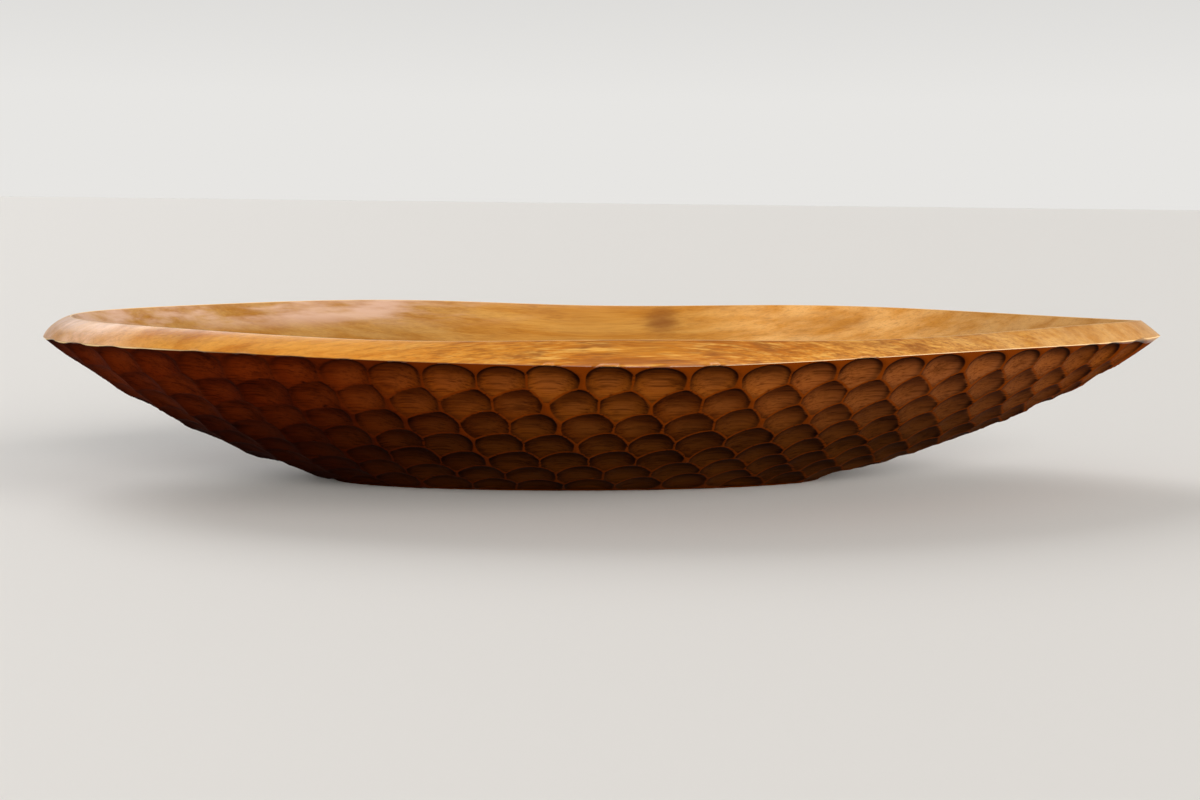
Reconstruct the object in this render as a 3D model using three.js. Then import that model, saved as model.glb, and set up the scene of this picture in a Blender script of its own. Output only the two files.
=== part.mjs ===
// A boat-shaped bowl, carved by hand from one block of wood. It is one solid with no joints: a flat foot,
// an outside wall covered in rows of gouge cuts, a smooth bevelled rim and a smooth hollow.
// +X runs along the bowl towards its pointed end, +Z is up, and the origin is on the table under its middle.
import * as THREE from "three";

// Driving dimensions, in millimetres.
const LENGTH = 452.3;
const WIDTH = 204.4;
const RIM_HEIGHT = 64.5; // the rim's inner edge, halfway along the bowl

// The outline seen from above.
const FULLNESS = 1.9; // near 2, the sides curve like an ellipse's
const ROUND_END_TAPER = 0.52; // 0.5 is an ellipse's end
const POINTED_END_TAPER = 0.85; // 1 would be a sharp point

// The bevel between the rim's inner edge and the outside wall. It is nearly flat along the sides, softer at
// the round end and flat at the pointed one. A bulge is the power of a profile: 2 is straight, 1 a quarter
// ellipse.
const BEVEL = {
  side: { out: 6.5, drop: 9.7, bulge: 1.7 },
  roundEnd: { out: 10.6, drop: 8.5, bulge: 1.4 },
  pointedEnd: { out: 8.8, drop: 6.5, bulge: 1.9 },
};
const END_SHARE = 4; // power that keeps the ends' sizes near the ends
const SOFT_SHARE = 2; // a smaller power, which carries the soft bevel of the round end further along

// Where the bevel grows narrower along the sides, because its lower edge rises.
const BEVEL_DIPS = [
  { rise: 4.2, x: 105, halfLength: 130 },
  { rise: 3.3, x: -113, halfLength: 153 },
];

// The rim isn't level: it rises a little at the ends, twists, and waves as a hand-cut edge does.
const END_RISE = 1.3;
const TWIST = 0.9;
const NEAR_WAVE = { height: 0.7, length: 185, crest: 0, lift: -0.1 };
const FAR_WAVE = { height: 1.15, length: 222, crest: 115, lift: 0.55 };

// The foot, the flat face that the bowl rests on, is an ellipse set towards the round end.
const FOOT = { x: -15.5, halfLength: 99, halfWidth: 29, height: 0 };

// The outside wall leaves the foot level and turns up to the bevel, by these angles in radians: it is upright
// there along the sides, and still leans out at the ends.
const WALL = {
  side: { bulge: 1.63, turn: Math.PI / 2 },
  roundEnd: { bulge: 1.55, turn: 1.15 },
  pointedEnd: { bulge: 1.49, turn: 1.22 },
};

// The hollow's floor is a smaller ellipse above the foot, so the wood is thicker low down than at the rim.
const FLOOR = { x: -15.5, halfLength: 80, halfWidth: 20, height: 10 };
const HOLLOW_BULGE = 1.6;
const FLOOR_DISH = 1.2; // how far the floor dips towards its middle

// The gouge cuts. Rows follow the bevel's lower edge, at even distances down the wall, and each row's cuts
// are set out from the middle of a side.
const FIRST_ROW = 6.1;
const ROW_PITCH = 13.3;
const ROWS = 11;
const CUT_PITCH = 18.5;
const FIRST_CUT = -0.67; // where the first row's middle cut is, in steps of the pitch
const ROW_LEAN = -0.06; // and how much further each row starts
const SIDE_STEPS = 20; // more cuts than half a row holds
const TIP_MARGIN = 7; // a cut's deepest point stays this far from the bowl's two ends
const FOOT_MARGIN = 5; // and this far from the foot
const CUT = { halfWidth: 10, upFirst: 6.4, up: 9.4, down: 13.4, depth: 2.3 }; // from its deepest point
const CUT_SQUARENESS = 2.1; // 2 makes a round dish; more flattens its floor and steepens its edge
const WOBBLE = { angle: 0.17, along: 1.1, down: 0.8, size: 0.07, depth: 0.14 }; // radians, mm, and shares

// The mesh.
const WALL_SPACING = 5.2;
const BEVEL_SPACING = 6.5;
const HOLLOW_SPACING = 11;
const ROW_SHARE = Math.sqrt(3) / 2; // rows of even-sided triangles are this share of their sides apart
const BEVEL_RINGS = [0, 0.35, 0.7, 1]; // shares of the bevel's profile
const DISC_RINGS = [0.3, 0.62, 0.86]; // shares of the way from the middle of the foot, or the floor
const SNAP_REACH = 2; // a vertex this near to a ridge between two cuts moves onto it
const CURVE_STEPS = 360;
const PROFILE_STEPS = 48;

const TURN = 2 * Math.PI;
const TINY = 1e-3; // a small step, in radians or shares, for the direction of a surface
const SLANT_SHARE = 0.7; // the slant of a profile is measured from the bevel down to this share of it
const lerp = (a, b, share) => a + (b - a) * share;

// A function that gives repeatable numbers from -1 to 1 for one cut, a different one for each key.
function wobbler(row, index) {
  return (key) => {
    const scattered = Math.sin(row * 78.233 + index * 12.9898 + key * 37.719) * 43758.5453;
    return 2 * (scattered - Math.floor(scattered)) - 1;
  };
}

// A point of the outline at angle t, which is 0 at the pointed end and half a turn at the round one.
function outline(roundReach, pointedReach, halfWidth, t) {
  const c = Math.cos(t);
  const taper = c > 0 ? POINTED_END_TAPER : ROUND_END_TAPER;
  const share = Math.max(0, 1 - Math.abs(c) ** FULLNESS) ** taper;
  return [c * (c > 0 ? pointedReach : roundReach), Math.sign(Math.sin(t)) * halfWidth * share];
}

// A size of the bevel or the wall at angle t: its side value along the sides, changing to those of the ends.
function sizeAt(sizes, name, t, power = END_SHARE) {
  const end = Math.cos(t) > 0 ? sizes.pointedEnd : sizes.roundEnd;
  return lerp(sizes.side[name], end[name], Math.abs(Math.cos(t)) ** power);
}

function waveAt({ height, length, crest, lift }, x) {
  return lift + height * Math.cos((TURN * (x - crest)) / length);
}

// How much the bevel's lower edge rises at x, where the bevel is narrower.
function bevelDip(x) {
  const rises = BEVEL_DIPS.map((dip) => {
    const share = Math.min(1, Math.abs(x - dip.x) / dip.halfLength);
    return dip.rise * Math.cos((share * Math.PI) / 2) ** 2;
  });
  return rises.reduce((sum, rise) => sum + rise, 0);
}

// The rim's inner edge, where the bevel meets the hollow.
function rimEdge(t) {
  const roundReach = LENGTH / 2 - BEVEL.roundEnd.out;
  const pointedReach = LENGTH / 2 - BEVEL.pointedEnd.out;
  const [x, y] = outline(roundReach, pointedReach, WIDTH / 2 - BEVEL.side.out, t);
  const c = Math.cos(t);
  const s = Math.sin(t);
  const waves = lerp(waveAt(NEAR_WAVE, x), waveAt(FAR_WAVE, x), (1 + s) / 2);
  return new THREE.Vector3(x, y, RIM_HEIGHT + END_RISE * c * c - TWIST * s * c + waves);
}

// The bevel's lower edge, where the outside wall starts.
function wallEdge(t) {
  const [x, y] = outline(LENGTH / 2, LENGTH / 2, WIDTH / 2, t);
  return new THREE.Vector3(x, y, rimEdge(t).z - sizeAt(BEVEL, "drop", t) + bevelDip(x));
}

function ellipseEdge({ x, halfLength, halfWidth, height }, t) {
  return new THREE.Vector3(x + halfLength * Math.cos(t), halfWidth * Math.sin(t), height);
}

// The point at share v of the curve that leaves one point level and turns up to another.
function profile(from, to, v, bulge, turn = Math.PI / 2) {
  const out = (Math.sin(v * turn) / Math.sin(turn)) ** bulge;
  const up = (1 - Math.cos(v * turn) ** bulge) / (1 - Math.cos(turn) ** bulge);
  return new THREE.Vector3(lerp(from.x, to.x, out), lerp(from.y, to.y, out), lerp(from.z, to.z, up));
}

// The outside wall before the cuts, from the foot at v = 0 to the bevel at v = 1.
const wall = (t, v) =>
  profile(ellipseEdge(FOOT, t), wallEdge(t), v, sizeAt(WALL, "bulge", t), sizeAt(WALL, "turn", t));

// The bevel, from the outside wall at v = 0 to the rim's inner edge at v = 1.
const bevel = (t, v) => profile(rimEdge(t), wallEdge(t), 1 - v, sizeAt(BEVEL, "bulge", t, SOFT_SHARE));

// The hollow's wall, from the floor at v = 0 to the rim's inner edge at v = 1.
const hollow = (t, v) => profile(ellipseEdge(FLOOR, t), rimEdge(t), v, HOLLOW_BULGE);

// A flat or dished ellipse, from its middle at v = 0 to its edge at v = 1.
function disc(ellipse, dish) {
  const middle = new THREE.Vector3(ellipse.x, 0, ellipse.height - dish);
  return (t, v) => middle.clone().lerp(ellipseEdge(ellipse, t), v);
}

function normalOf(surface, t, v) {
  const around = surface(t + TINY, v).sub(surface(t - TINY, v));
  const up = surface(t, Math.min(1, v + TINY)).sub(surface(t, Math.max(0, v - TINY)));
  return around.cross(up).normalize();
}

// The length of a curve from its start to each of a number of even steps of its parameter.
function lengthsAlong(curve, steps) {
  const lengths = [0];
  let last = curve(0);
  for (let i = 1; i <= steps; i++) {
    const next = curve(i / steps);
    lengths.push(lengths[i - 1] + next.distanceTo(last));
    last = next;
  }
  return lengths;
}

// The share of a curve's parameter at which the curve is the given length, or 1 where it is shorter.
function shareAtLength(lengths, length) {
  const i = lengths.findIndex((one) => one >= length);
  if (i < 0) return 1;
  if (i === 0) return 0;
  return (i - 1 + (length - lengths[i - 1]) / (lengths[i] - lengths[i - 1])) / (lengths.length - 1);
}

// Angles that split a closed curve into equal lengths of about the spacing. The first is an offset of steps round.
function evenAngles(curve, spacing, offset) {
  const lengths = lengthsAlong((share) => curve(TURN * share), CURVE_STEPS);
  const total = lengths.at(-1);
  const count = Math.round(total / spacing);
  const angleOf = (_, i) => TURN * shareAtLength(lengths, ((i + offset) / count) * total);
  return Array.from({ length: count }, angleOf);
}

// How far the wall's profile at angle t gets from the bevel's edge, per length, as it runs aslant to it.
function slantAt(t) {
  const along = wall(t + TINY, 1).sub(wall(t - TINY, 1)).normalize();
  const down = wall(t, SLANT_SHARE).sub(wall(t, 1)).normalize();
  return along.cross(down).length();
}

// The angle and number of each cut in a row, evenly along each side from its middle.
function rowAngles(curve, offset) {
  const lengths = lengthsAlong((share) => curve(TURN * share), CURVE_STEPS);
  const found = [];
  for (const side of [0, 1]) {
    const [start, middle, end] = [0, 1, 2].map((quarter) => lengths[((side * 2 + quarter) * CURVE_STEPS) / 4]);
    for (let step = -SIDE_STEPS; step <= SIDE_STEPS; step++) {
      const place = middle + (step + offset) * CUT_PITCH;
      if (place > start + TIP_MARGIN && place < end - TIP_MARGIN) {
        found.push({ t: TURN * shareAtLength(lengths, place), index: side * 100 + step });
      }
    }
  }
  return found;
}

// Every gouge cut on the wall: its deepest point, its directions and its size.
function gougeCuts() {
  const profiles = [];
  for (let i = 0; i <= CURVE_STEPS; i++) {
    const t = (TURN * i) / CURVE_STEPS;
    profiles.push({ slant: slantAt(t), lengths: lengthsAlong((share) => wall(t, 1 - share), PROFILE_STEPS) });
  }
  const cuts = [];
  for (let row = 0; row < ROWS; row++) {
    const distance = FIRST_ROW + row * ROW_PITCH;
    const vAt = (t) => {
      const step = (t / TURN) * CURVE_STEPS;
      const i = Math.min(CURVE_STEPS - 1, Math.floor(step));
      const [before, after] = [profiles[i], profiles[i + 1]].map(({ slant, lengths }) =>
        shareAtLength(lengths, distance / slant),
      );
      return 1 - lerp(before, after, step - i);
    };
    const offset = FIRST_CUT + (row % 2) / 2 + ROW_LEAN * row;
    for (const { t, index } of rowAngles((t) => wall(t, vAt(t)), offset)) {
      const { slant, lengths } = profiles[Math.round((t / TURN) * CURVE_STEPS)];
      const up = row === 0 ? CUT.upFirst : CUT.up;
      if (lengths.at(-1) - distance / slant > FOOT_MARGIN) cuts.push(gougeCut(t, vAt(t), up, wobbler(row, index)));
    }
  }
  return cuts;
}

function gougeCut(t, v, up, wobble) {
  const normal = normalOf(wall, t, v);
  const along = wall(t + TINY, v).sub(wall(t - TINY, v)).normalize();
  along.applyAxisAngle(normal, WOBBLE.angle * wobble(1));
  const down = along.clone().cross(normal);
  const centre = wall(t, v);
  centre.addScaledVector(along, WOBBLE.along * wobble(2)).addScaledVector(down, WOBBLE.down * wobble(3));
  const size = 1 + WOBBLE.size * wobble(4);
  return {
    centre,
    along,
    down,
    halfWidth: CUT.halfWidth * size,
    upReach: up,
    downReach: CUT.down * size,
    depth: CUT.depth * (1 + WOBBLE.depth * wobble(5)),
  };
}

// A cut's depth under the uncut wall at a point, which is negative outside the cut, and how it changes there.
function depthAndSlope(cut, point) {
  const offset = point.clone().sub(cut.centre);
  const a = offset.dot(cut.along);
  const b = offset.dot(cut.down);
  const reach = b < 0 ? cut.upReach : cut.downReach;
  const across = Math.abs(a) / cut.halfWidth;
  const downwards = Math.abs(b) / reach;
  const steepness = -cut.depth * CUT_SQUARENESS;
  const slopeAlong = (steepness * Math.sign(a) * across ** (CUT_SQUARENESS - 1)) / cut.halfWidth;
  const slopeDown = (steepness * Math.sign(b) * downwards ** (CUT_SQUARENESS - 1)) / reach;
  return {
    depth: cut.depth * (1 - across ** CUT_SQUARENESS - downwards ** CUT_SQUARENESS),
    slope: new THREE.Vector3().addScaledVector(cut.along, slopeAlong).addScaledVector(cut.down, slopeDown),
  };
}

const UNCUT = { depth: 0, slope: new THREE.Vector3() };

// The two deepest of the cuts at a point. The uncut wall stands for each one that's missing.
function deepestTwo(cuts, point) {
  const near = cuts.filter((cut) => cut.centre.distanceTo(point) < CUT.halfWidth + CUT.down);
  const depths = near.map((cut) => depthAndSlope(cut, point));
  return [...depths, UNCUT, UNCUT].sort((p, q) => q.depth - p.depth).slice(0, 2);
}

// The point of the cut wall for a point of the uncut wall. A point near a ridge moves onto it first.
function carve(cuts, point, normal) {
  const [first, second] = deepestTwo(cuts, point);
  const slope = first.slope.clone().sub(second.slope);
  const steepness = slope.length();
  const toRidge = (first.depth - second.depth) / steepness;
  const moved = point.clone();
  if (toRidge < SNAP_REACH) moved.addScaledVector(slope, -toRidge / steepness);
  const [deepest] = deepestTwo(cuts, moved);
  return moved.addScaledVector(normal, -deepest.depth);
}

// The values of v, from one to another, that split a surface's profile into even steps of about one row.
function evenHeights(surface, from, to, spacing) {
  const sides = [0, 0.25, 0.5, 0.75].map((share) =>
    lengthsAlong((v) => surface(TURN * share, lerp(from, to, v)), PROFILE_STEPS),
  );
  const lengths = sides[0].map((_, i) => sides.reduce((sum, side) => sum + side[i], 0) / sides.length);
  const count = Math.round(lengths.at(-1) / (spacing * ROW_SHARE));
  const heightOf = (_, i) => lerp(from, to, shareAtLength(lengths, (i / count) * lengths.at(-1)));
  return Array.from({ length: count + 1 }, heightOf);
}

// The bowl's skin as rings of points, from the middle of the foot, up the outside, over the rim and down the
// hollow. Every other ring starts half a step round.
function bowlRings() {
  const rings = [];
  const addRing = (surface, v, spacing, finish = (point) => point) => {
    const angles = evenAngles((t) => surface(t, v), spacing, (rings.length % 2) / 2);
    rings.push(angles.map((t) => finish(surface(t, v), t)));
  };
  const cuts = gougeCuts();
  const foot = disc(FOOT, 0);
  const floor = disc(FLOOR, FLOOR_DISH);

  rings.push([foot(0, 0)]);
  for (const v of DISC_RINGS) addRing(foot, v, HOLLOW_SPACING);
  addRing(wall, 0, WALL_SPACING);
  for (const v of evenHeights(wall, 0, 1, WALL_SPACING).slice(1, -1)) {
    addRing(wall, v, WALL_SPACING, (point, t) => carve(cuts, point, normalOf(wall, t, v)));
  }
  for (const v of BEVEL_RINGS) addRing(bevel, v, BEVEL_SPACING);
  for (const v of evenHeights(hollow, 1, 0, HOLLOW_SPACING).slice(1)) addRing(hollow, v, HOLLOW_SPACING);
  for (const v of DISC_RINGS.toReversed()) addRing(floor, v, HOLLOW_SPACING);
  rings.push([floor(0, 0)]);
  return rings;
}

// Adds triangles between two rings, whatever their counts, taking the shorter diagonal each time. A ring of
// one point is a pole.
function bridge(lower, upper, lowerStart, upperStart, indices) {
  const lowerSteps = lower.length > 1 ? lower.length : 0;
  const upperSteps = upper.length > 1 ? upper.length : 0;
  let i = 0;
  let j = 0;
  while (i < lowerSteps || j < upperSteps) {
    const nextI = (i + 1) % lower.length;
    const nextJ = (j + 1) % upper.length;
    const from = lower[i % lower.length];
    const to = upper[j % upper.length];
    const lowerStep = i < lowerSteps ? lower[nextI].distanceTo(to) : Infinity;
    const upperStep = j < upperSteps ? upper[nextJ].distanceTo(from) : Infinity;
    const a = lowerStart + (i % lower.length);
    const b = upperStart + (j % upper.length);
    if (lowerStep < upperStep) {
      indices.push(a, lowerStart + nextI, b);
      i++;
    } else {
      indices.push(a, upperStart + nextJ, b);
      j++;
    }
  }
}

function skinOf(rings) {
  const indices = [];
  let start = 0;
  for (let i = 1; i < rings.length; i++) {
    const nextStart = start + rings[i - 1].length;
    bridge(rings[i - 1], rings[i], start, nextStart, indices);
    start = nextStart;
  }
  const geometry = new THREE.BufferGeometry().setFromPoints(rings.flat());
  geometry.setIndex(indices);
  geometry.computeVertexNormals();
  return geometry;
}

const oiledWood = new THREE.MeshStandardMaterial({ color: 0xb06a30, roughness: 0.5, metalness: 0 });

const bowl = new THREE.Mesh(skinOf(bowlRings()), oiledWood);
bowl.name = "bowl";

const model = new THREE.Group();
model.add(bowl);

export default model;
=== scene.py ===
"""The looks of a boat-shaped bowl, carved by hand from one block of wood and oiled.

One mesh stands for the CAD bowl. It has the same outline, walls, rim, foot and rows of gouge cuts, on a finer
mesh, and it carries painted values that its materials read: how deep the cuts are, where their ridges run,
and where the stained outside gives way to the bare rim and hollow. All lengths are in metres.
"""

import math

import bpy
import numpy as np
from mathutils import Matrix, Vector


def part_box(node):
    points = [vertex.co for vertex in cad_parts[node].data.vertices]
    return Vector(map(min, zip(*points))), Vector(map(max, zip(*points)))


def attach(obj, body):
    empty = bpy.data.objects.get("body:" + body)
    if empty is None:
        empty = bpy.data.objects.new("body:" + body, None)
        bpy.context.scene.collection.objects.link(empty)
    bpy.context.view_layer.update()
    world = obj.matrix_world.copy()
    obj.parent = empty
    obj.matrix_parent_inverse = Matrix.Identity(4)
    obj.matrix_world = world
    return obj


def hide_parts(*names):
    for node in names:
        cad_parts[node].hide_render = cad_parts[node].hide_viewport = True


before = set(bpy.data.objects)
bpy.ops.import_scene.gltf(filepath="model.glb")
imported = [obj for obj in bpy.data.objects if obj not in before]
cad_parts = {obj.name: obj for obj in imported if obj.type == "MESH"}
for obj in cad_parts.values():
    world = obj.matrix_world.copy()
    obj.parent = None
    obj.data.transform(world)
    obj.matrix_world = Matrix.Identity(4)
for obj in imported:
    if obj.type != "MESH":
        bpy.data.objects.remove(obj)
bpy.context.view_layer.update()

TURN = 2 * math.pi
MM = 0.001
TINY = 1e-3  # a small step, in radians or shares, for the direction of a surface

# The bowl's size comes from the frame, and the rest of its shape from the same dimensions as the CAD part's.
low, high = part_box("bowl")
HALF_LENGTH = (high[0] - low[0]) / 2
HALF_WIDTH = (high[1] - low[1]) / 2
RIM_HEIGHT = 64.5 * MM
FULLNESS = 1.9
ROUND_END_TAPER = 0.52
POINTED_END_TAPER = 0.85

# Each of the bevel's sizes along the sides, at the round end and at the pointed end.
BEVEL_OUT = (6.5 * MM, 10.6 * MM, 8.8 * MM)
BEVEL_DROP = (9.7 * MM, 8.5 * MM, 6.5 * MM)
BEVEL_BULGE = (1.7, 1.4, 1.9)
END_SHARE = 4  # power that keeps the ends' sizes near the ends
SOFT_SHARE = 2  # a smaller power, which carries the soft bevel of the round end further along

END_RISE = 1.3 * MM
TWIST = 0.9 * MM
NEAR_WAVE = (0.7 * MM, 185 * MM, 0, -0.1 * MM)  # height, length, where a crest is, and lift
FAR_WAVE = (1.15 * MM, 222 * MM, 115 * MM, 0.55 * MM)

# Where the bevel grows narrower along the sides: how much, where, and the half length of the dip.
BEVEL_DIPS = ((4.2 * MM, 105 * MM, 130 * MM), (3.3 * MM, -113 * MM, 153 * MM))

FOOT = (-15.5 * MM, 99 * MM, 29 * MM, 0.0)  # middle, half length, half width and height
FLOOR = (-15.5 * MM, 80 * MM, 20 * MM, 10 * MM)
FLOOR_DISH = 1.2 * MM
FLOOR_CURVE = 5 * MM  # about how high the hollow's wall has risen when it is past the curve
WALL_BULGE = (1.63, 1.55, 1.49)
WALL_TURN = (TURN / 4, 1.15, 1.22)  # upright at the bevel along the sides, leaning out at the ends
HOLLOW_BULGE = 1.6

# The gouge cuts, in rows that follow the bevel's lower edge. Each row starts at the middle of a side.
FIRST_ROW = 6.1 * MM
ROW_PITCH = 13.3 * MM
ROWS = 11
CUT_PITCH = 18.5 * MM
FIRST_CUT = -0.67  # where the first row's middle cut is, in steps of the pitch
ROW_LEAN = -0.06  # and how much further each row starts
TIP_MARGIN = 7 * MM
SIDE_STEPS = 20  # more cuts than half a row holds
SLANT_SHARE = 0.7  # the wall's direction down from the bevel is taken from its edge to this share of it
FOOT_MARGIN = 5 * MM
CUT_HALF_WIDTH = 10.0 * MM
CUT_UP = 9.4 * MM
CUT_UP_FIRST = 6.4 * MM  # the first row stops at the bevel
CUT_DOWN = 13.4 * MM
CUT_DEPTH = 2.3 * MM
CUT_POWER = 2.1  # 2 is a round dish, more flattens its floor
WOBBLE_ANGLE = 0.17  # the most that one cut differs from the next, in radians, lengths or shares
WOBBLE_ALONG = 1.1 * MM
WOBBLE_DOWN = 0.8 * MM
WOBBLE_SIZE = 0.07
WOBBLE_DEPTH = 0.14
WOBBLE_HASH = (78.233, 12.9898, 37.719, 43758.5453)  # scatters a cut's row and number
RIDGE_REACH = 6 * MM  # how far from a ridge its distance is painted

# The finish, as far as it is painted on the mesh.
TIP_BARE = 2.0 * MM  # how far below the bevel the stain starts at the pointed end
TIP_BARE_POWER = 10  # power that keeps this bare strip near the end
TIP_BARE_FADE = 0.6 * MM
WEAR_AND_HIGHLIGHT_FROM_MIDDLE = (-20 * MM, 70 * MM)  # where the lower edge's painted wear and highlight starts and is full, towards the point
WEAR_AND_HIGHLIGHT_ROUND_END = (-130 * MM, -190 * MM)  # and towards the round end
WEAR_AND_HIGHLIGHT_LEAST, WEAR_AND_HIGHLIGHT_MOST = 0.1, 0.9

# The shallow hollows that hand scraping leaves inside.
RIPPLE_HEIGHT = 0.12 * MM
RIPPLE_LENGTHS = (6.1 * MM, 4.3 * MM)  # along X and Y, for each radian of a sine
RIPPLE_BENDS = ((1.3, 11 * MM), (0.8, 13 * MM))  # how many radians each set bends, and its own such length
RIPPLE_POWER = 8  # power that keeps the rim's edge even

# The mesh.
WALL_SPACING = 1.16 * MM
BEVEL_SPACING = 1.7 * MM
HOLLOW_SPACING = 2.7 * MM
FOOT_SPACING = 4 * MM
ROW_SHARE = math.sqrt(3) / 2
EDGE_GAP = 0.6 * MM  # rings this far either side of an edge keep it crisp
SNAP_SHARE = 0.4  # points this near a ridge, in spacings, move onto it
SIDE_ANGLES = (1.5, 4.5)  # near the middle of each side
CURVE_STEPS = 1440
ANGLE_STEPS = 360
PROFILE_STEPS = 240
PROFILES = 8  # how many profiles the rings' spacing is averaged over


# ---------------------------------------------------------------------------------------------- surfaces


def lerp(a, b, share):
    return a + (b - a) * share


def outline(round_reach, pointed_reach, half_width, t):
    """The outline seen from above, at angle t: 0 is the pointed end and half a turn the round one."""
    c = np.cos(t)
    taper = np.where(c > 0, POINTED_END_TAPER, ROUND_END_TAPER)
    share = np.maximum(0, 1 - np.abs(c) ** FULLNESS) ** taper
    return c * np.where(c > 0, pointed_reach, round_reach), np.sign(np.sin(t)) * half_width * share


def size_at(sizes, t, power=END_SHARE):
    """A size at angle t: its side value along the sides, changing to those of the two ends."""
    side, round_end, pointed_end = sizes
    end = np.where(np.cos(t) > 0, pointed_end, round_end)
    return lerp(side, end, np.abs(np.cos(t)) ** power)


def wave_at(wave, x):
    height, length, crest, lift = wave
    return lift + height * np.cos(TURN * (x - crest) / length)


def bevel_dip(x):
    """How much the bevel's lower edge rises at x, where the bevel is narrower."""
    shares = [np.clip(np.abs(x - place) / reach, 0, 1) for _, place, reach in BEVEL_DIPS]
    return sum(depth * np.cos(share * math.pi / 2) ** 2 for (depth, _, _), share in zip(BEVEL_DIPS, shares))


def rim_edge(t):
    """The rim's inner edge, where the bevel meets the hollow."""
    reach = HALF_LENGTH - np.array(BEVEL_OUT)
    x, y = outline(reach[1], reach[2], HALF_WIDTH - BEVEL_OUT[0], t)
    c, s = np.cos(t), np.sin(t)
    waves = lerp(wave_at(NEAR_WAVE, x), wave_at(FAR_WAVE, x), (1 + s) / 2)
    return np.stack([x, y, RIM_HEIGHT + END_RISE * c * c - TWIST * s * c + waves], axis=-1)


def wall_edge(t):
    """The bevel's lower edge, where the outside wall starts."""
    x, y = outline(HALF_LENGTH, HALF_LENGTH, HALF_WIDTH, t)
    z = rim_edge(t)[..., 2] - size_at(BEVEL_DROP, t) + bevel_dip(x)
    return np.stack([x, y, z], axis=-1)


def ellipse_edge(ellipse, t):
    middle, half_length, half_width, height = ellipse
    return np.stack([middle + half_length * np.cos(t), half_width * np.sin(t), height + 0 * t], axis=-1)


def profile(start, end, v, bulge, turn=TURN / 4):
    """The point at share v of the curve that leaves one point level and turns up to another."""
    out = (np.sin(v * turn) / np.sin(turn)) ** bulge
    up = (1 - np.cos(v * turn) ** bulge) / (1 - np.cos(turn) ** bulge)
    shares = np.stack(np.broadcast_arrays(out, out, up), axis=-1)
    return start + (end - start) * shares


def wall(t, v):
    return profile(ellipse_edge(FOOT, t), wall_edge(t), v, size_at(WALL_BULGE, t), size_at(WALL_TURN, t))


def bevel(t, v):
    return profile(rim_edge(t), wall_edge(t), 1 - v, size_at(BEVEL_BULGE, t, SOFT_SHARE))


def hollow(t, v):
    """The hollow's wall. It leaves the floor in a soft curve, where the CAD part's starts with an edge."""
    points = profile(ellipse_edge(FLOOR, t), rim_edge(t), v, HOLLOW_BULGE)
    rise = points[..., 2] - FLOOR[3]
    points[..., 2] = FLOOR[3] + rise * (1 - np.exp(-rise / FLOOR_CURVE))
    return points


def disc(ellipse, dish):
    """The surface of a flat or dished ellipse, from its middle at v = 0 to its edge at v = 1."""
    middle = np.array([ellipse[0], 0, ellipse[3]])

    def surface(t, v):
        v = np.asarray(v)
        points = lerp(middle, ellipse_edge(ellipse, t), v[..., None])
        points[..., 2] -= dish * (1 - v**2) ** 2
        return points

    return surface


def unit(vectors):
    return vectors / np.linalg.norm(vectors, axis=-1, keepdims=True)


def normal_of(surface, t, v):
    around = surface(t + TINY, v) - surface(t - TINY, v)
    up = surface(t, np.minimum(1, v + TINY)) - surface(t, np.maximum(0, v - TINY))
    return unit(np.cross(around, up))


def lengths_along(points):
    """The length of a line of points from its start to each of them."""
    steps = np.linalg.norm(np.diff(points, axis=0), axis=-1)
    return np.concatenate([[0], np.cumsum(steps)])


def even_angles(curve, spacing, offset):
    """Angles that split a closed curve into equal lengths. The first is an offset of steps round."""
    t = np.linspace(0, TURN, CURVE_STEPS + 1)
    lengths = lengths_along(curve(t))
    count = round(lengths[-1] / spacing)
    return np.interp((np.arange(count) + offset) / count * lengths[-1], lengths, t)


def even_heights(surface, start, end, spacing):
    """Values of v, from one to another, that split a surface's profile into steps of about one row."""
    v = np.linspace(start, end, PROFILE_STEPS + 1)
    angles = np.arange(PROFILES) * TURN / PROFILES
    lengths = np.mean([lengths_along(surface(np.full_like(v, t), v)) for t in angles], axis=0)
    count = round(lengths[-1] / (spacing * ROW_SHARE))
    return np.interp(np.arange(count + 1) / count * lengths[-1], lengths, v)


# ------------------------------------------------------------------------------------------- gouge cuts


def gouge_cuts():
    """Every cut on the wall: its deepest point, its directions, its size and a tone for its stain."""
    steps = np.linspace(0, TURN, ANGLE_STEPS + 1)
    down_share = np.linspace(0, 1, PROFILE_STEPS + 1)
    profiles = [lengths_along(wall(np.full_like(down_share, t), 1 - down_share)) for t in steps]
    to_foot = np.array([lengths[-1] for lengths in profiles])
    slants = row_slants(steps)
    cuts = []
    for row in range(ROWS):
        distances = (FIRST_ROW + row * ROW_PITCH) / slants
        v_by_step = [1 - np.interp(d, lengths, down_share) for d, lengths in zip(distances, profiles)]
        offset = FIRST_CUT + (row % 2) / 2 + ROW_LEAN * row
        for t, index in row_angles(lambda t: wall(t, np.interp(t, steps, v_by_step)), offset):
            if np.interp(t, steps, to_foot - distances) > FOOT_MARGIN:
                reach_up = CUT_UP if row else CUT_UP_FIRST
                cuts.append(gouge_cut(t, np.interp(t, steps, v_by_step), reach_up, wobbles(row, index)))
    return cuts


def wobbles(row, index):
    """Six repeatable numbers from -1 to 1 for one cut, the same as the CAD part's."""
    by_row, by_index, by_key, spread = WOBBLE_HASH
    angles = [row * by_row + index * by_index + key * by_key for key in range(1, 7)]
    scattered = [math.sin(angle) * spread for angle in angles]
    return [2 * (number - math.floor(number)) - 1 for number in scattered]


def row_slants(t):
    """How far each profile of the wall gets from the bevel's edge, per length, as it runs aslant to it."""
    along = unit(wall(t + TINY, 1.0) - wall(t - TINY, 1.0))
    down = unit(wall(t, SLANT_SHARE) - wall(t, 1.0))
    return np.linalg.norm(np.cross(along, down), axis=-1)


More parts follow.
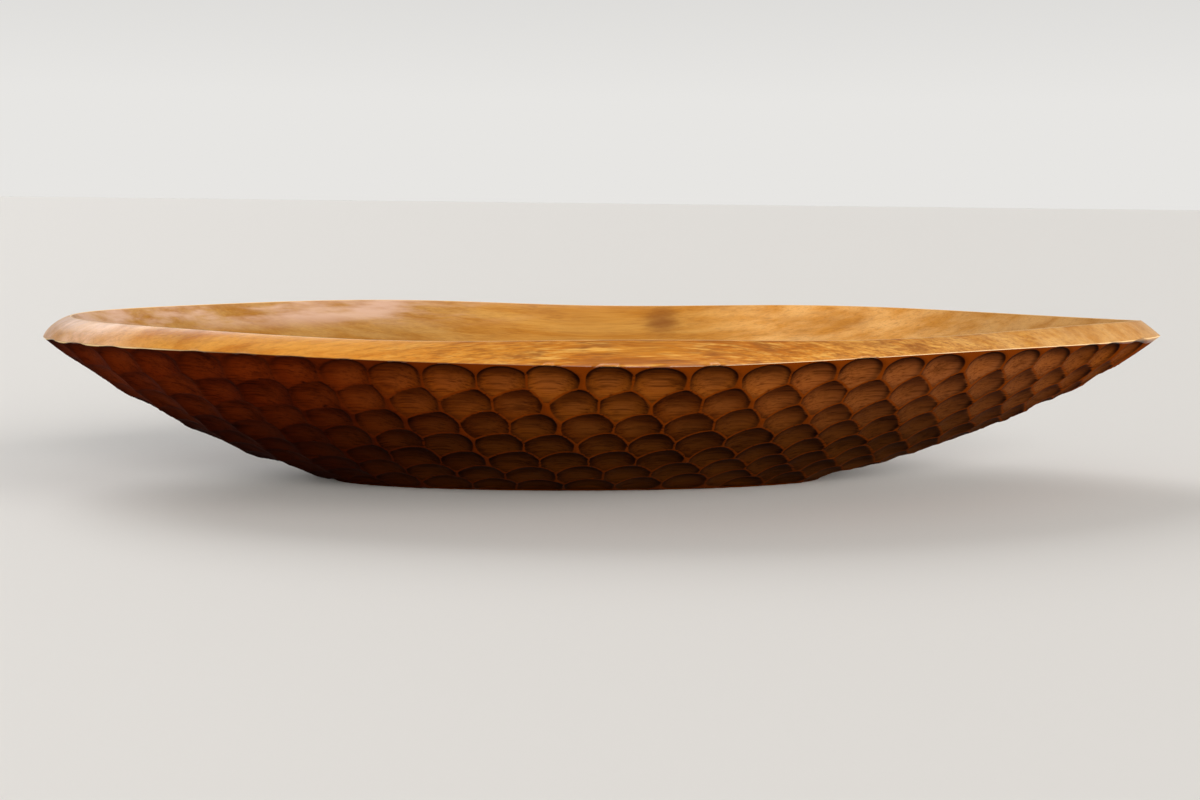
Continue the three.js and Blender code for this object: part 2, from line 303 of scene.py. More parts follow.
def row_angles(curve, offset):
    """The angle and number of each cut in a row, evenly along each side from its middle."""
    t = np.linspace(0, TURN, CURVE_STEPS + 1)
    lengths = lengths_along(curve(t))
    angles = []
    for side in (0, 1):
        start, middle, end = np.interp(np.array([0, 0.25, 0.5]) * TURN + side * TURN / 2, t, lengths)
        for step in range(-SIDE_STEPS, SIDE_STEPS + 1):
            place = middle + (step + offset) * CUT_PITCH
            if start + TIP_MARGIN < place < end - TIP_MARGIN:
                angles.append((np.interp(place, lengths, t), side * 100 + step))
    return angles


def gouge_cut(t, v, reach_up, wobble):
    angle, along_shift, down_shift, size, depth, tone = wobble
    normal = normal_of(wall, t, v)
    along = unit(wall(t + TINY, v) - wall(t - TINY, v))
    along = unit(along + WOBBLE_ANGLE * angle * np.cross(normal, along))
    down = np.cross(along, normal)
    return {
        "centre": wall(t, v) + along * along_shift * WOBBLE_ALONG + down * down_shift * WOBBLE_DOWN,
        "along": along,
        "down": down,
        "half_width": CUT_HALF_WIDTH * (1 + WOBBLE_SIZE * size),
        "reach_up": reach_up,
        "reach_down": CUT_DOWN * (1 + WOBBLE_SIZE * size),
        "depth": CUT_DEPTH * (1 + WOBBLE_DEPTH * depth),
        "tone": tone,
    }


def depth_and_slope(cut, points):
    """A cut's depth under the uncut wall at points, negative outside it, and how it changes there."""
    offset = points - cut["centre"]
    a = offset @ cut["along"]
    b = offset @ cut["down"]
    reach = np.where(b < 0, cut["reach_up"], cut["reach_down"])
    across = a / cut["half_width"]
    downwards = b / reach
    depth = cut["depth"] * (1 - np.abs(across) ** CUT_POWER - np.abs(downwards) ** CUT_POWER)
    steepness = -cut["depth"] * CUT_POWER
    slope_along = steepness * np.sign(a) * np.abs(across) ** (CUT_POWER - 1) / cut["half_width"]
    slope_down = steepness * np.sign(b) * np.abs(downwards) ** (CUT_POWER - 1) / reach
    slope = slope_along[:, None] * cut["along"] + slope_down[:, None] * cut["down"]
    return depth, slope, downwards


def deepest_cuts(cuts, points):
    """What the deepest cut at each point does there, and how far the next deepest is from taking over."""
    count = len(points)
    first, second = np.zeros(count), np.zeros(count)
    first_slope, second_slope = np.zeros((count, 3)), np.zeros((count, 3))
    tone, place = np.zeros(count), np.zeros(count)
    for cut in cuts:
        near = np.flatnonzero(np.abs(points - cut["centre"]).max(axis=1) < CUT_HALF_WIDTH + CUT_DOWN)
        depth, slope, share = depth_and_slope(cut, points[near])
        wins = depth > first[near]
        winners = near[wins]
        second[winners], second_slope[winners] = first[winners], first_slope[winners]
        first[winners], first_slope[winners] = depth[wins], slope[wins]
        tone[winners], place[winners] = cut["tone"], share[wins]
        follows = ~wins & (depth > second[near])
        second[near[follows]], second_slope[near[follows]] = depth[follows], slope[follows]
    difference = first_slope - second_slope
    steepness = np.linalg.norm(difference, axis=1)
    to_ridge = np.where(steepness > 0, (first - second) / np.maximum(steepness, 1e-9), 1.0)
    return first, to_ridge, difference, steepness, tone, place


def carve(cuts, points, normals):
    """Moves points of the uncut wall into the cuts, those near a ridge onto it, and gives what to paint."""
    _, to_ridge, difference, steepness, _, _ = deepest_cuts(cuts, points)
    snaps = (to_ridge < SNAP_SHARE * WALL_SPACING) & (steepness > 0)
    points = points.copy()
    points[snaps] -= difference[snaps] * (to_ridge[snaps] / steepness[snaps])[:, None]
    depth, to_ridge, _, _, tone, place = deepest_cuts(cuts, points)
    painted = {
        "cut_depth": depth / CUT_DEPTH,
        "to_ridge": np.where(depth > 0, np.clip(to_ridge / RIDGE_REACH, 0, 1), 0),
        "tone": np.where(depth > 0, tone, 0),
        "cut_place": np.where(depth > 0, place, 0),
    }
    return points - normals * depth[:, None], painted


# ------------------------------------------------------------------------------------------ the bowl's mesh


def bridge(lower, upper):
    """Triangles between two rings, given their angles, as indices into the lower and then the upper ring."""

    def middles(angles):
        return (angles + np.append(angles[1:], angles[0] + TURN)) / 2

    n, m = len(lower), len(upper)
    i, j = np.arange(n), np.arange(m)
    if m == 1:
        return np.stack([i, (i + 1) % n, np.full(n, n)], axis=1)
    if n == 1:
        return np.stack([np.zeros(m, int), 1 + (j + 1) % m, 1 + j], axis=1)
    over = np.searchsorted(middles(upper), middles(lower), side="left")
    under = np.searchsorted(middles(lower), middles(upper), side="right")
    from_lower = np.stack([i, (i + 1) % n, n + over % m], axis=1)
    from_upper = np.stack([under % n, n + (j + 1) % m, n + j], axis=1)
    return np.concatenate([from_lower, from_upper])


def near_edges(heights, surface, both_ends=True):
    """Adds a value of v just inside the start of a list, and its end if asked, to keep those edges crisp."""
    size = np.mean([np.linalg.norm(surface(t, heights[0]) - surface(t, heights[1])) for t in SIDE_ANGLES])
    gap = min(0.5, EDGE_GAP / size)
    heights = list(heights)
    if both_ends:
        heights.insert(-1, lerp(heights[-1], heights[-2], gap))
    heights.insert(1, lerp(heights[0], heights[1], gap))
    return heights


def bowl_rings():
    """The skin as (surface name, v, angles), from the foot's middle over the rim to the floor's middle."""
    foot, floor = disc(FOOT, 0), disc(FLOOR, FLOOR_DISH)
    foot_heights = even_heights(foot, 0, 1, FOOT_SPACING)
    wall_heights = near_edges(even_heights(wall, 0, 1, WALL_SPACING), wall)
    bevel_heights = near_edges(even_heights(bevel, 0, 1, BEVEL_SPACING), bevel)
    hollow_heights = near_edges(even_heights(hollow, 1, 0, HOLLOW_SPACING), hollow, both_ends=False)
    floor_heights = even_heights(floor, 1, 0, HOLLOW_SPACING)
    parts = [
        ("foot", foot, foot_heights[1:-1], FOOT_SPACING),
        ("wall", wall, wall_heights, WALL_SPACING),
        ("bevel", bevel, bevel_heights[1:], BEVEL_SPACING),
        ("hollow", hollow, hollow_heights[1:], HOLLOW_SPACING),
        ("floor", floor, floor_heights[1:-1], HOLLOW_SPACING),
    ]
    rings = [("foot", foot, 0.0, np.zeros(1))]
    for name, surface, heights, spacing in parts:
        for v in heights:
            offset = (len(rings) % 2) / 2
            rings.append((name, surface, v, even_angles(lambda t: surface(t, v), spacing, offset)))
    rings.append(("floor", floor, 0.0, np.zeros(1)))
    return rings


def bowl_skin():
    """The bowl's points and triangles, and the values painted on its points."""
    rings = bowl_rings()
    t = np.concatenate([ring[3] for ring in rings])
    v = np.concatenate([np.full(len(ring[3]), ring[2]) for ring in rings])
    name = np.concatenate([np.full(len(ring[3]), ring[0]) for ring in rings])
    points = np.concatenate([ring[1](ring[3], np.full(len(ring[3]), ring[2])) for ring in rings])

    starts = np.cumsum([0] + [len(ring[3]) for ring in rings])
    triangles = np.concatenate(
        [start + bridge(lower[3], upper[3]) for start, lower, upper in zip(starts, rings, rings[1:])]
    )

    painted = {key: np.zeros(len(points)) for key in ("cut_depth", "to_ridge", "tone", "cut_place")}
    cut_wall = (name == "wall") & (v > 0)
    normals = normal_of(wall, t[cut_wall], v[cut_wall])
    points[cut_wall], wall_paint = carve(gouge_cuts(), points[cut_wall], normals)
    points[:, 2] = np.maximum(points[:, 2], 0)
    for key, values in wall_paint.items():
        painted[key][cut_wall] = values

    uneven = (name == "hollow") | (name == "floor")
    fade_at_rim = np.where(name[uneven] == "hollow", 1 - v[uneven] ** RIPPLE_POWER, 1)
    points[uneven, 2] += unevenness(points[uneven]) * fade_at_rim
    painted["bare"] = np.isin(name, ["bevel", "hollow", "floor"]).astype(float)
    painted["bare"][cut_wall] = bare_tip(t[cut_wall], points[cut_wall])
    painted["edge"] = edge_wear_and_highlight(name, v, points)
    painted["inside"] = uneven.astype(float)
    return points, triangles, painted


def bare_tip(t, points):
    """The share of bare wood on the wall: at the pointed end the stain starts a little below the bevel."""
    line = TIP_BARE * np.maximum(0, np.cos(t)) ** TIP_BARE_POWER
    below = wall_edge(t)[:, 2] - points[:, 2]
    return np.clip((line - below) / TIP_BARE_FADE, 0, 1)


def share_between(value, start, full):
    """How far a value is from a start to where its share is full, past both ends too."""
    return (value - start) / (full - start)


def edge_wear_and_highlight(name, v, points):
    """One where an edge of the bevel is painted pale, as wear and as a painted highlight: all of the upper
    one, and most of the lower one.
    """
    upper = (name == "bevel") & (v == 1)
    lower = (name == "wall") & (v == 1)
    towards_point = share_between(points[:, 0], *WEAR_AND_HIGHLIGHT_FROM_MIDDLE)
    towards_round_end = share_between(points[:, 0], *WEAR_AND_HIGHLIGHT_ROUND_END)
    lower_wear_and_highlight = np.clip(np.maximum(towards_point, towards_round_end), WEAR_AND_HIGHLIGHT_LEAST, WEAR_AND_HIGHLIGHT_MOST)
    return np.where(upper, 1, np.where(lower, lower_wear_and_highlight, 0))


def unevenness(points):
    """The shallow hollows that hand scraping leaves, as a height."""
    x, y = points[:, 0], points[:, 1]
    (bend_x, length_x), (bend_y, length_y) = RIPPLE_BENDS
    along = np.sin(x / RIPPLE_LENGTHS[0] + bend_x * np.sin(y / length_x))
    across = np.sin(y / RIPPLE_LENGTHS[1] + bend_y * np.sin(x / length_y))
    return RIPPLE_HEIGHT * along * across


def make_bowl():
    points, triangles, painted = bowl_skin()
    mesh = bpy.data.meshes.new("carved_bowl")
    mesh.from_pydata(points.tolist(), [], triangles.tolist())
    mesh.shade_smooth()
    for name, values in painted.items():
        layer = mesh.attributes.new(name, "FLOAT", "POINT")
        layer.data.foreach_set("value", values.astype(np.float32))
    bowl = bpy.data.objects.new("carved_bowl", mesh)
    bpy.context.scene.collection.objects.link(bowl)
    mesh.materials.append(oiled_wood("stained_wood", specular=0.008, roughness=(0.62, 0.76), coat=0))
    mesh.materials.append(oiled_wood("bare_wood", specular=0.4, roughness=(0.32, 0.44), coat=0.05))
    is_bare = painted["bare"][triangles].max(axis=1) > 0
    mesh.polygons.foreach_set("material_index", is_bare.astype(np.int32))
    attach(bowl, "root")
    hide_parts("bowl")


# -------------------------------------------------------------------------------------------- materials


def colour(red, green, blue):
    """A colour given as it looks on a screen, from 0 to 255, as a shader wants it: by the sRGB curve."""
    levels = [level / 255 for level in (red, green, blue)]
    linear = [((level + 0.055) / 1.055) ** 2.4 if level > 0.04045 else level / 12.92 for level in levels]
    return (*linear, 1.0)


HONEY = colour(200, 145, 64)
HONEY_BAND = colour(196, 121, 18)
HONEY_GOLD = colour(220, 150, 58)
# painted sheen: the bevel's round end pale and milky, standing in for a reflection of light
ROUND_END_SHEEN_TONE = colour(236, 192, 160)
HONEY_TIP = colour(209, 162, 104)
HONEY_ROUND_END = colour(163, 123, 68)
# painted sheen inside the hollow towards the pointed end, standing in for a reflection of light
HONEY_PAINTED_SHEEN = colour(250, 190, 114)
HONEY_DARK = colour(126, 70, 12)
HONEY_PALE = colour(222, 170, 84)
FIBRE = colour(140, 78, 14)
PORE = colour(96, 50, 10)
KNOT = colour(118, 60, 4)
# milky patches: a painted reflection of light, on paler wood
PALE_WOOD_AND_REFLECTION = colour(204, 168, 146)
# a pale colour for worn edges, which also stands in as a painted highlight where light catches them
WORN_EDGE_HIGHLIGHT = colour(252, 216, 158)
STAIN = colour(114, 52, 8)
STAIN_PALE = colour(142, 76, 20)
# painted light and sheen: the stain paler and mauve towards the pointed end
STAIN_TIP_SHEEN = colour(152, 88, 46)
# painted highlight in the deep, lower part of each cut
BELLY_HIGHLIGHT = colour(150, 84, 34)
STAIN_RIDGE = colour(110, 46, 2)

# Tints, which the colours under them are multiplied by.
HONEY_STREAK = (0.77, 0.59, 0.22, 1)
STAIN_GRAIN = (0.32, 0.26, 0.22, 1)
# painted shade, in the cuts and under the rim
PAINTED_SHADE = (0.18, 0.13, 0.10, 1)
# painted shade, darker towards the foot
LOW_PAINTED_SHADE = (0.18, 0.18, 0.06, 1)
# a redder stain towards the round end, also darker there as painted shade
ROUND_END_STAIN_AND_SHADE = (0.46, 0.17, 0.04, 1)

# The wood's noises. Their patches' sizes are in mm, and long in X like the grain. Shifts set them apart.
NOISES = {
    "streaks": {"size": (160, 7, 7), "detail": 4, "roughness": 0.6, "distortion": 0.2},
    "lines": {"size": (45, 0.9, 0.9), "detail": 3, "roughness": 0.65},
    "fine": {"size": (16, 0.4, 0.4), "shift": (2, 8, 1), "detail": 2, "roughness": 0.6},
    "pores": {"size": (11, 0.5, 0.5), "shift": (3, 5, 7), "detail": 1},
    "clouds": {"size": (50, 30, 30), "detail": 3},
    "smudges": {"size": (16, 5, 5), "shift": (9, 2, 4), "detail": 4, "roughness": 0.65},
    "fibres": {"size": (22, 1.6, 1.6), "shift": (5, 3, 2), "detail": 3, "roughness": 0.65},
    "pale_and_reflection_patches": {"size": (60, 20, 7), "shift": (1, 6, 3), "detail": 4, "roughness": 0.6},
}


class Recipe:
    """A material under construction. Most methods add nodes and give their output."""

    def __init__(self, name):
        self.material = bpy.data.materials.new(name)
        self.material.use_nodes = True
        self.tree = self.material.node_tree
        self.shader = self.tree.nodes["Principled BSDF"]

    def feed(self, socket, value):
        """Sets an input to a value, or links it to another node's output."""
        if isinstance(value, bpy.types.NodeSocket):
            self.tree.links.new(value, socket)
        else:
            socket.default_value = value

    def node(self, kind, inputs, **settings):
        made = self.tree.nodes.new("ShaderNode" + kind)
        for name, value in settings.items():
            setattr(made, name, value)
        for name, value in inputs.items():
            self.feed(made.inputs[name], value)
        return made

    def painted(self, name):
        return self.node("Attribute", {}, attribute_name=name).outputs["Fac"]

    def place(self):
        return self.node("TexCoord", {}).outputs["Object"]

    def math(self, operation, a, b=0.0):
        return self.node("Math", {0: a, 1: b}, operation=operation).outputs[0]

    def product(self, first, *others):
        for other in others:
            first = self.math("MULTIPLY", first, other)
        return first

    def away(self, value, middle):
        """How far a value is from a middle one."""
        return self.math("ABSOLUTE", self.math("SUBTRACT", value, middle))

    def stretch(self, vector, sizes, shift=(0, 0, 0)):
        """The place counted in steps of the given sizes along X, Y and Z."""
        scale = tuple(1 / size for size in sizes)
        return self.node("Mapping", {"Vector": vector, "Scale": scale, "Location": shift}).outputs[0]

    def noise(self, size, shift=(0, 0, 0), detail=2, roughness=0.5, distortion=0.0):
        """A noise with patches of about the given size in mm along X, Y and Z."""
        vector = self.stretch(self.place(), [length * MM for length in size], shift)
        inputs = {"Vector": vector, "Scale": 1, "Detail": detail, "Roughness": roughness}
        inputs["Distortion"] = distortion
        return self.node("TexNoise", inputs).outputs["Fac"]

    def between(self, value, start, end, at_start=0.0, at_end=1.0):
        """A share that goes smoothly from at_start to at_end as the value goes from start to end."""
        inputs = {0: value, 1: start, 2: end, 3: at_start, 4: at_end}
        return self.node("MapRange", inputs, interpolation_type="SMOOTHSTEP").outputs[0]

    def mix(self, share, a, b, blend="MIX"):
        """Colour a where the share is 0, and b where it is 1."""
        made = self.node("Mix", {0: share}, data_type="RGBA", blend_type=blend)
        self.feed(made.inputs[6], a)
        self.feed(made.inputs[7], b)
        return made.outputs[2]

    def tint(self, share, a, b):
        """Colour a where the share is 0, and a multiplied by b where it is 1."""
        return self.mix(share, a, b, "MULTIPLY")


# Fades for Recipe.between: where each starts and ends, and its shares there if not 0 and 1. Those called
# ALONG go by X, which is negative towards the round end, and those called UP go by height.
PORE_FADE = (0.62, 0.72)
WEAR_AND_HIGHLIGHT_FADE = (0.1, 0.8, 0.0, 0.85)
GLOSS_FADE = (0.35, 0.7)
PORE_DEPTH = 0.6  # the pores' depth in the relief, beside the lines'
RELIEF_STRENGTH = 0.25
RELIEF_HEIGHT = 0.12 * MM
COAT_ROUGHNESS = 0.2


def oiled_wood(name, specular, roughness, coat):
    """The bowl's wood, stained on the cut outside and bare elsewhere, with one of its two finishes."""
    wood = Recipe(name)
    marks = {key: wood.noise(**settings) for key, settings in NOISES.items()}
    marks["pores"] = wood.between(marks["pores"], *PORE_FADE)
    marks["place"] = wood.place()
    split = wood.node("SeparateXYZ", {0: marks["place"]})
    marks["x"], marks["height"] = split.outputs["X"], split.outputs["Z"]

    base = wood.mix(wood.painted("bare"), stained_colour(wood, marks), bare_colour(wood, marks))
    # the bevel's edges painted pale: wear, and a painted highlight
    base = wood.mix(wood.between(wood.painted("edge"), *WEAR_AND_HIGHLIGHT_FADE), base, WORN_EDGE_HIGHLIGHT)
    grain_height = wood.math("SUBTRACT", marks["lines"], wood.product(marks["pores"], PORE_DEPTH))
    relief = {"Height": grain_height, "Strength": RELIEF_STRENGTH, "Distance": RELIEF_HEIGHT}
    wood.feed(wood.shader.inputs["Base Color"], base)
    wood.feed(wood.shader.inputs["Normal"], wood.node("Bump", relief).outputs[0])
    wood.feed(wood.shader.inputs["Roughness"], wood.between(marks["smudges"], *GLOSS_FADE, *roughness))
    wood.shader.inputs["Specular IOR Level"].default_value = specular
    wood.shader.inputs["Coat Weight"].default_value = coat
    wood.shader.inputs["Coat Roughness"].default_value = COAT_ROUGHNESS
    return wood.material


# The bare wood's tones by place, with a painted sheen on the bevel at the round end.
BAND_AWAY = (170 * MM, 50 * MM, 0.0, 0.8)
GOLD_ALONG = (-30 * MM, -110 * MM, 0.0, 0.75)
ROUND_END_SHEEN_ALONG = (-170 * MM, -205 * MM, 0.0, 0.8)
TIP_ALONG = (30 * MM, 170 * MM, 0.0, 0.55)
ROUND_END_ALONG = (-20 * MM, -100 * MM, 0.0, 0.75)

# Its marks. The small ones are crisp on the bevel around one place, and softer elsewhere.
STREAK_FADE = (0.35, 0.68)
CLOUD_FADE = (0.48, 0.78, 0.0, 0.45)
CRISP_MIDDLE = 30 * MM
CRISP_AWAY = (60 * MM, 150 * MM, 1.0, 0.3)
CRISP_INSIDE = (0, 1, 1.0, 0.35)
SMUDGE_FADE = (0.5, 0.74, 0.0, 0.75)
BARE_GRAIN = {"lines": 0.65, "fine": 0.55}  # strengths of the grain, which end these two fades
DARK_GRAIN_FADE = (0.48, 0.7, 0.0)
PALE_GRAIN_FADE = (0.48, 0.3, 0.0)
DARK_FIBRE_FADE = (0.5, 0.66, 0.0, 0.6)
PALE_FIBRE_FADE = (0.47, 0.3, 0.0, 0.6)
PORE_STRENGTH = 0.3


def bare_colour(wood, marks):
    """The bare wood's tones by place and its painted sheens, then streaks and clouds, then small marks, milky
    patches of painted reflection on paler wood, and the knot.
    """
    x = marks["x"]
    inside = wood.painted("inside")
    on_bevel = wood.math("SUBTRACT", wood.painted("bare"), inside)
    tones = [
        (wood.product(on_bevel, wood.between(wood.away(x, 0), *BAND_AWAY)), HONEY_BAND),
        (wood.product(on_bevel, wood.between(x, *GOLD_ALONG)), HONEY_GOLD),
        # painted sheen on the bevel at the round end
        (wood.product(on_bevel, wood.between(x, *ROUND_END_SHEEN_ALONG)), ROUND_END_SHEEN_TONE),
        (wood.between(x, *TIP_ALONG), HONEY_TIP),
        (wood.product(inside, wood.between(x, *ROUND_END_ALONG)), HONEY_ROUND_END),
        # painted sheen inside the hollow
        (wood.product(inside, painted_sheen_mark(wood, marks)), HONEY_PAINTED_SHEEN),
    ]
    base = HONEY
    for share, tone in tones:
        base = wood.mix(share, base, tone)
    base = wood.tint(wood.between(marks["streaks"], *STREAK_FADE), base, HONEY_STREAK)
    base = wood.mix(wood.between(marks["clouds"], *CLOUD_FADE), base, HONEY_DARK)

    small_marks = [(wood.between(marks["smudges"], *SMUDGE_FADE), HONEY_DARK)]
    for grain, strength in BARE_GRAIN.items():
        small_marks.append((wood.between(marks[grain], *DARK_GRAIN_FADE, strength), HONEY_DARK))
        small_marks.append((wood.between(marks[grain], *PALE_GRAIN_FADE, strength), HONEY))
    for fade, tone in ((DARK_FIBRE_FADE, FIBRE), (PALE_FIBRE_FADE, HONEY_PALE)):
        small_marks.append((wood.product(on_bevel, wood.between(marks["fibres"], *fade)), tone))
    small_marks.append((wood.product(marks["pores"], PORE_STRENGTH), PORE))
    crisp_along = wood.between(wood.away(x, CRISP_MIDDLE), *CRISP_AWAY)
    crisp = wood.math("MINIMUM", wood.between(inside, *CRISP_INSIDE), crisp_along)
    for share, tone in small_marks:
        base = wood.mix(wood.product(crisp, share), base, tone)
    # milky patches of painted reflection on paler wood
    base = wood.mix(wood.product(inside, pale_wood_and_reflection_mark(wood, marks)), base, PALE_WOOD_AND_REFLECTION)
    return wood.mix(knot_mark(wood, marks), base, KNOT)


SHEEN_MIDDLE = 100 * MM
SHEEN_AWAY = (70 * MM, 20 * MM, 0.0, 0.7)


def painted_sheen_mark(wood, marks):
    """A painted sheen, standing in for a reflection of light: a brighter stretch of the hollow's wall,
    towards the pointed end.
    """
    return wood.between(wood.away(marks["x"], SHEEN_MIDDLE), *SHEEN_AWAY)


PALE_REFLECTION_ALONG = (-20 * MM, -80 * MM, 0.0, 0.85)
PALE_REFLECTION_UP = (54 * MM, 61.5 * MM)
PALE_REFLECTION_FADE = (0.38, 0.66)


def pale_wood_and_reflection_mark(wood, marks):
    """Milky streaks high inside the hollow, towards the round end: a painted reflection of light, on paler
    wood.
    """
    near_end = wood.between(marks["x"], *PALE_REFLECTION_ALONG)
    high_up = wood.between(marks["height"], *PALE_REFLECTION_UP)
    return wood.product(near_end, wood.between(marks["pale_and_reflection_patches"], *PALE_REFLECTION_FADE), high_up)


KNOT_PLACE = (28 * MM, 89 * MM, 57 * MM)
KNOT_SIZE = (8 * MM, 12 * MM, 6 * MM)
KNOT_RAGGED = (0.3, 0.7, -0.25, 0.25)  # how smudges move its outline, in sizes of the knot
KNOT_FADE = (1.5, 0.1, 0.0, 0.75)


def knot_mark(wood, marks):
    """A soft dark knot on the hollow's far wall."""
    offset = wood.node("VectorMath", {0: marks["place"], 1: KNOT_PLACE}, operation="SUBTRACT").outputs[0]
    scaled = wood.stretch(offset, KNOT_SIZE)
    distance = wood.node("VectorMath", {0: scaled}, operation="LENGTH").outputs["Value"]
    ragged = wood.math("ADD", distance, wood.between(marks["smudges"], *KNOT_RAGGED))
    return wood.between(ragged, *KNOT_FADE)


# The stain's tones, with painted light and sheen towards the pointed end and a painted highlight in the deep,
# lower part of each cut. Each cut's depth is 1 at its deepest, and a place in it goes from -1, its top, to 1.
TONE_FADE = (-2.0, 2.0)
MAUVE_RISE = (0, 130 * MM, 0.0, 0.68)
MAUVE_FALL = (140 * MM, 200 * MM, 1.0, 0.0)
BELLY_DEPTH = (0.55, 1.0, 0.0, 0.6)
BELLY_PLACE = (-0.3, 0.2)
STAIN_MARKS = {"lines": 0.8, "fine": 0.5, "smudges": 0.7, "clouds": 0.6}  # strengths, which end this fade
STAIN_MARK_FADE = (0.47, 0.74, 0.0)

# Painted shade in each cut, on its outline, upper part and top edge, which is weaker at the round end.
SHADE_ALONG = (-140 * MM, -50 * MM, 0.45, 1.0)
OUTLINE_DEPTH = (0.6, 0.3, 0.0, 0.5)
UPPER_PLACE = (0.75, -0.6, 0.0, 0.85)
TOP_ALONG = (-140 * MM, -50 * MM, 0.3, 0.8)
TOP_DEPTH = (0.7, 0.25)
TOP_PLACE = (0.3, -0.2)

# Painted shade over the whole stain: darker towards the foot, under the rim towards the pointed end, and,
# with a redder stain, towards the round end.
LOW_UP = (52 * MM, 18 * MM, 0.05, 0.88)
UNDER_RIM_UP = (53.5 * MM, 47.5 * MM, 0.0, 0.26)
UNDER_RIM_ALONG = (50 * MM, 110 * MM)
ROUND_END_STAIN_AND_SHADE_ALONG = (0, -140 * MM, 0.0, 0.9)


def stained_colour(wood, marks):
    """The stain's tones with a painted sheen and highlight, its marks, the painted shade in each cut, the
    whole's painted shade, and the ridges on top.
    """
    x, height = marks["x"], marks["height"]
    cut_depth = wood.painted("cut_depth")
    cut_place = wood.painted("cut_place")
    # painted light and sheen towards the pointed end
    mauve_sheen = wood.product(wood.between(x, *MAUVE_RISE), wood.between(x, *MAUVE_FALL))
    # painted highlight in the deep, lower part of each cut
    belly_highlight = wood.product(wood.between(cut_depth, *BELLY_DEPTH), wood.between(cut_place, *BELLY_PLACE))
    base = wood.mix(wood.between(wood.painted("tone"), *TONE_FADE), STAIN, STAIN_PALE)
    base = wood.mix(mauve_sheen, base, STAIN_TIP_SHEEN)
    base = wood.mix(belly_highlight, base, BELLY_HIGHLIGHT)
    for mark, strength in STAIN_MARKS.items():
        base = wood.tint(wood.between(marks[mark], *STAIN_MARK_FADE, strength), base, STAIN_GRAIN)

    # painted shade in each cut: its outline, upper part and top edge darker
    shade_share = wood.between(x, *SHADE_ALONG)
    outline = wood.product(wood.between(cut_depth, *OUTLINE_DEPTH), shade_share)
    upper_part = wood.product(wood.between(cut_place, *UPPER_PLACE), shade_share)
    top_edge = wood.product(wood.between(cut_place, *TOP_PLACE), wood.between(x, *TOP_ALONG))
    top_edge = wood.product(top_edge, wood.between(cut_depth, *TOP_DEPTH))
    for shade in (outline, upper_part, top_edge):
        base = wood.tint(shade, base, PAINTED_SHADE)

    # painted shade under the rim, towards the pointed end
    under_rim_shade = wood.product(wood.between(height, *UNDER_RIM_UP), wood.between(x, *UNDER_RIM_ALONG))
    # painted shade, darker towards the foot
    base = wood.tint(wood.between(height, *LOW_UP), base, LOW_PAINTED_SHADE)
    base = wood.tint(under_rim_shade, base, PAINTED_SHADE)
    base = wood.mix(ridge_mark(wood, marks, cut_depth), base, ridge_colour(wood, marks))
    # redder stain and painted shade towards the round end
    return wood.tint(wood.between(x, *ROUND_END_STAIN_AND_SHADE_ALONG), base, ROUND_END_STAIN_AND_SHADE)


RIDGE_FADE = (0.12, 0.03)
SHALLOW_DEPTH = (0.24, 0.14)
RIDGE_ALONG = (-50 * MM, -140 * MM, 0.85, 0.1)
LOW_RIDGE_UP = (45 * MM, 10 * MM, 0.0, 0.5)


def ridge_mark(wood, marks, cut_depth):
    """The ridges between cuts, and the wall that no cut reaches, plain to see except at the round end."""
    on_ridge = wood.between(wood.painted("to_ridge"), *RIDGE_FADE)
    shallow = wood.between(cut_depth, *SHALLOW_DEPTH)
    return wood.product(wood.math("MAXIMUM", on_ridge, shallow), wood.between(marks["x"], *RIDGE_ALONG))


def ridge_colour(wood, marks):
    # painted shade: the ridges darker towards the foot too
    return wood.tint(wood.between(marks["height"], *LOW_RIDGE_UP), STAIN_RIDGE, LOW_PAINTED_SHADE)


# ------------------------------------------------------------------------------- floor, lights and camera

FLOOR_HALF = 30.0
FLOOR_DROP = 0.1 * MM
FLOOR_COLOUR = (0.78, 0.755, 0.72, 1)
FLOOR_ROUGHNESS = 0.75

# Soft lights from far away: heading in degrees from +X towards +Y, height in degrees, strength and colour.
WINDOWS = {
    "side_window": (-28, 20, 1.5, (1, 0.98, 0.95)),
    "front_window": (-78, 18, 2.2, (1, 0.98, 0.95)),
    "back_window": (122, 40, 1.1, (0.97, 0.98, 1)),
}
WINDOW_WIDTH = 36  # degrees
SKY = ((0.06, (0.8, 0.79, 0.77, 1)), (0.5, (0.3, 0.3, 0.3, 1)))  # height of a direction, and its colour

CAMERA_PLACE = (-0.0631, -0.6421, 0.1136)
CAMERA_HEADING = 0.086  # radians from +Y towards +X
CAMERA_PITCH = 0.126  # radians below level
CAMERA_ROLL = 0.012  # radians
CAMERA_LENS = 48  # mm, as is the sensor
CAMERA_SENSOR = 36
CAMERA_NEAREST = 0.01


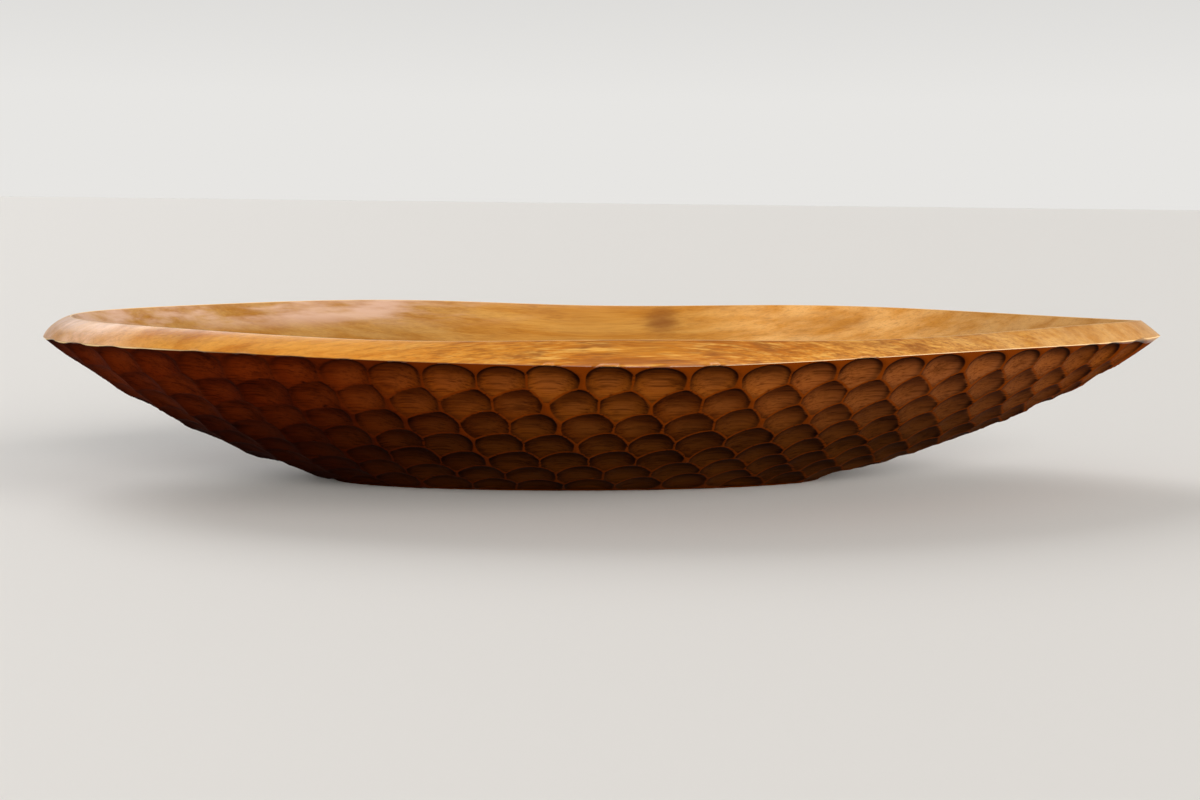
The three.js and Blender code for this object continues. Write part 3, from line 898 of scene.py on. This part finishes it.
def make_floor():
    corners = [(x * FLOOR_HALF, y * FLOOR_HALF, -FLOOR_DROP) for x, y in ((-1, -1), (1, -1), (1, 1), (-1, 1))]
    mesh = bpy.data.meshes.new("floor")
    mesh.from_pydata(corners, [], [(0, 1, 2, 3)])
    floor = bpy.data.objects.new("floor", mesh)
    bpy.context.scene.collection.objects.link(floor)
    pale = Recipe("pale_floor")
    pale.shader.inputs["Base Color"].default_value = FLOOR_COLOUR
    pale.shader.inputs["Roughness"].default_value = FLOOR_ROUGHNESS
    mesh.materials.append(pale.material)


def make_window(name, heading, height, strength, tint):
    data = bpy.data.lights.new(name, "SUN")
    data.energy = strength
    data.angle = math.radians(WINDOW_WIDTH)
    data.color = tint
    light = bpy.data.objects.new(name, data)
    away = Matrix.Rotation(math.radians(heading), 3, "Z") @ Matrix.Rotation(math.radians(-height), 3, "Y")
    light.rotation_euler = (away @ Vector((1, 0, 0))).to_track_quat("Z", "Y").to_euler()
    bpy.context.scene.collection.objects.link(light)


def make_sky():
    """Light from all round, brightest near the horizon."""
    world = bpy.data.worlds.new("studio")
    world.use_nodes = True
    nodes = world.node_tree.nodes
    direction = nodes.new("ShaderNodeTexCoord")
    split = nodes.new("ShaderNodeSeparateXYZ")
    ramp = nodes.new("ShaderNodeValToRGB")
    for element, (position, tone) in zip(ramp.color_ramp.elements, SKY):
        element.position = position
        element.color = tone
    link = world.node_tree.links.new
    link(direction.outputs["Generated"], split.inputs[0])
    link(split.outputs["Z"], ramp.inputs[0])
    link(ramp.outputs[0], nodes["Background"].inputs["Color"])
    bpy.context.scene.world = world


def make_camera():
    data = bpy.data.cameras.new("camera")
    data.lens = CAMERA_LENS
    data.sensor_width = CAMERA_SENSOR
    data.clip_start = CAMERA_NEAREST
    camera = bpy.data.objects.new("camera", data)
    heading = Matrix.Rotation(-CAMERA_HEADING, 4, "Z")
    pitch = Matrix.Rotation(math.pi / 2 - CAMERA_PITCH, 4, "X")
    roll = Matrix.Rotation(CAMERA_ROLL, 4, "Z")
    camera.matrix_world = Matrix.Translation(CAMERA_PLACE) @ heading @ pitch @ roll
    bpy.context.scene.collection.objects.link(camera)
    bpy.context.scene.camera = camera


bpy.context.scene.view_settings.view_transform = "Standard"
make_camera()
make_bowl()
make_floor()
for window, settings in WINDOWS.items():
    make_window(window, *settings)
make_sky()
